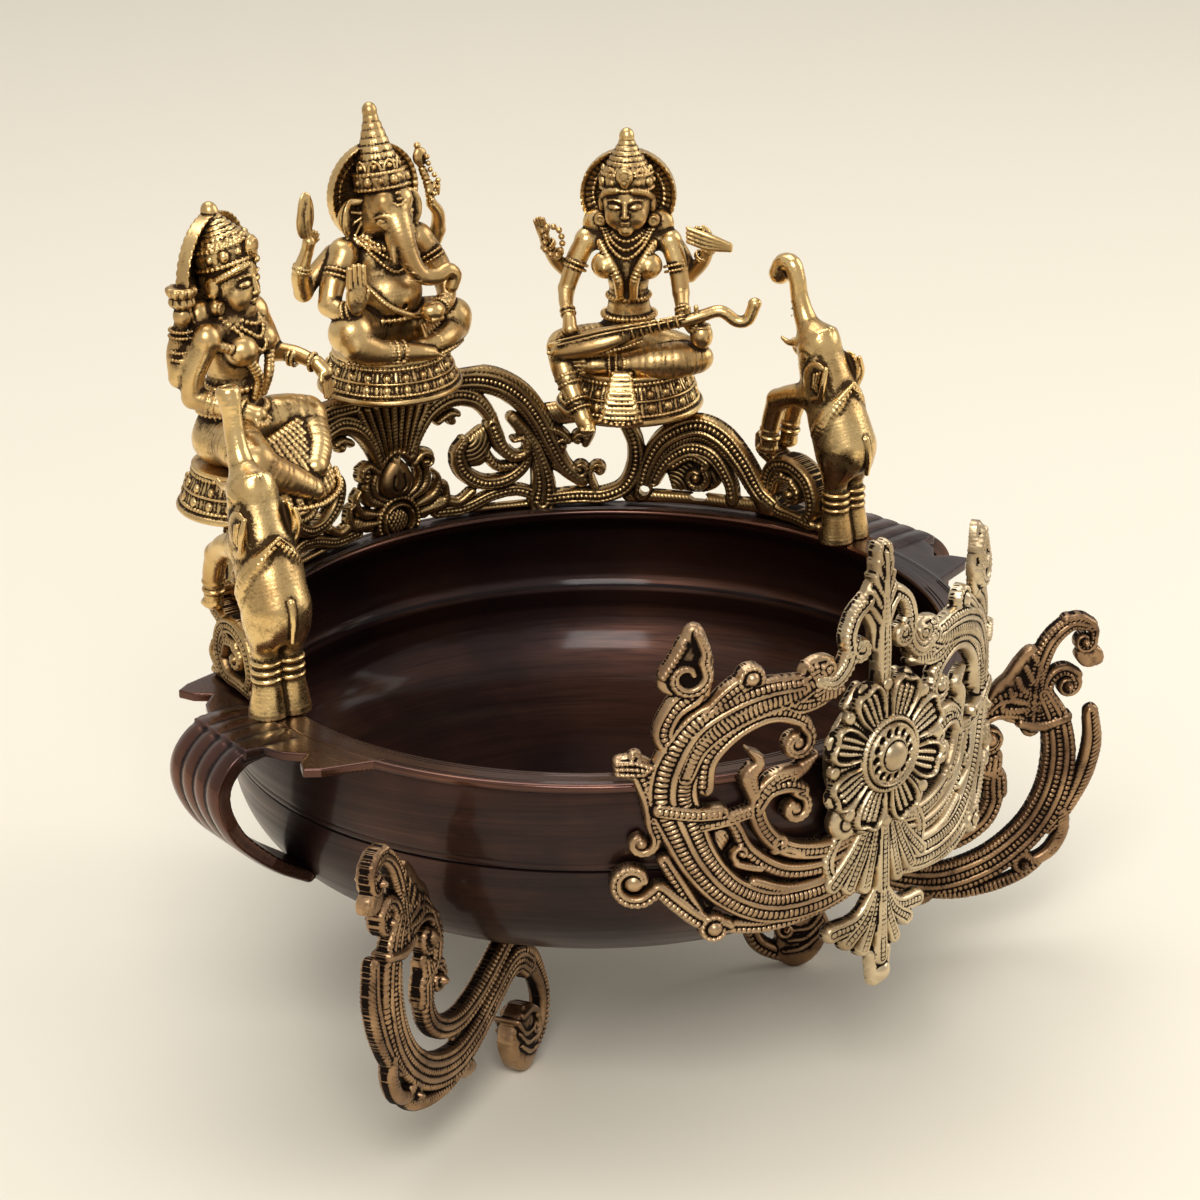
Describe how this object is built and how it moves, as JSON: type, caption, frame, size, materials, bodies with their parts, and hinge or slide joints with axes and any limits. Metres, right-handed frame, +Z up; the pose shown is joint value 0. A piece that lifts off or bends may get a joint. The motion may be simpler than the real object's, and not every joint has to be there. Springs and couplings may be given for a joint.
{
  "type": "footed display bowl",
  "caption": "Shallow brass bowl on scroll legs, with side handles, an openwork rim arcade carrying seated figures and rearing elephants, and a scrolled front crest.",
  "frame": {"origin": "on the ground, under the middle of the part's outline", "axes": "+Z up, -Y the front with the crest, +X to the right of someone facing the front"},
  "size_m": [0.3984, 0.3946, 0.3566],
  "materials": {
    "bowl": "dark brown patina, worn bright on the edges",
    "arcade": "antiqued, olive-brown in the recesses",
    "figures": "polished, dark in the engraved lines",
    "crest": "polished ribs over near-black recesses",
    "legs": "copper-brown patina, polished ribs"
  },
  "bodies": {
    "root": {"bowl": "bowl", "left_lug": "bowl", "right_lug": "bowl", "arcade_middle": "arcade", "arcade_left": "arcade", "arcade_right": "arcade", "left_bracket": "arcade", "right_bracket": "arcade", "left_elephant": "figures", "right_elephant": "figures", "middle_seat": "figures", "middle_figure": "figures", "left_seat": "figures", "left_figure": "figures", "right_seat": "figures", "right_figure": "figures", "crest_middle": "crest", "crest_left": "crest", "crest_right": "crest", "crest_rosette": "crest", "left_leg": "legs", "right_leg": "legs", "rear_leg": "legs"}
  },
  "joints": []
}
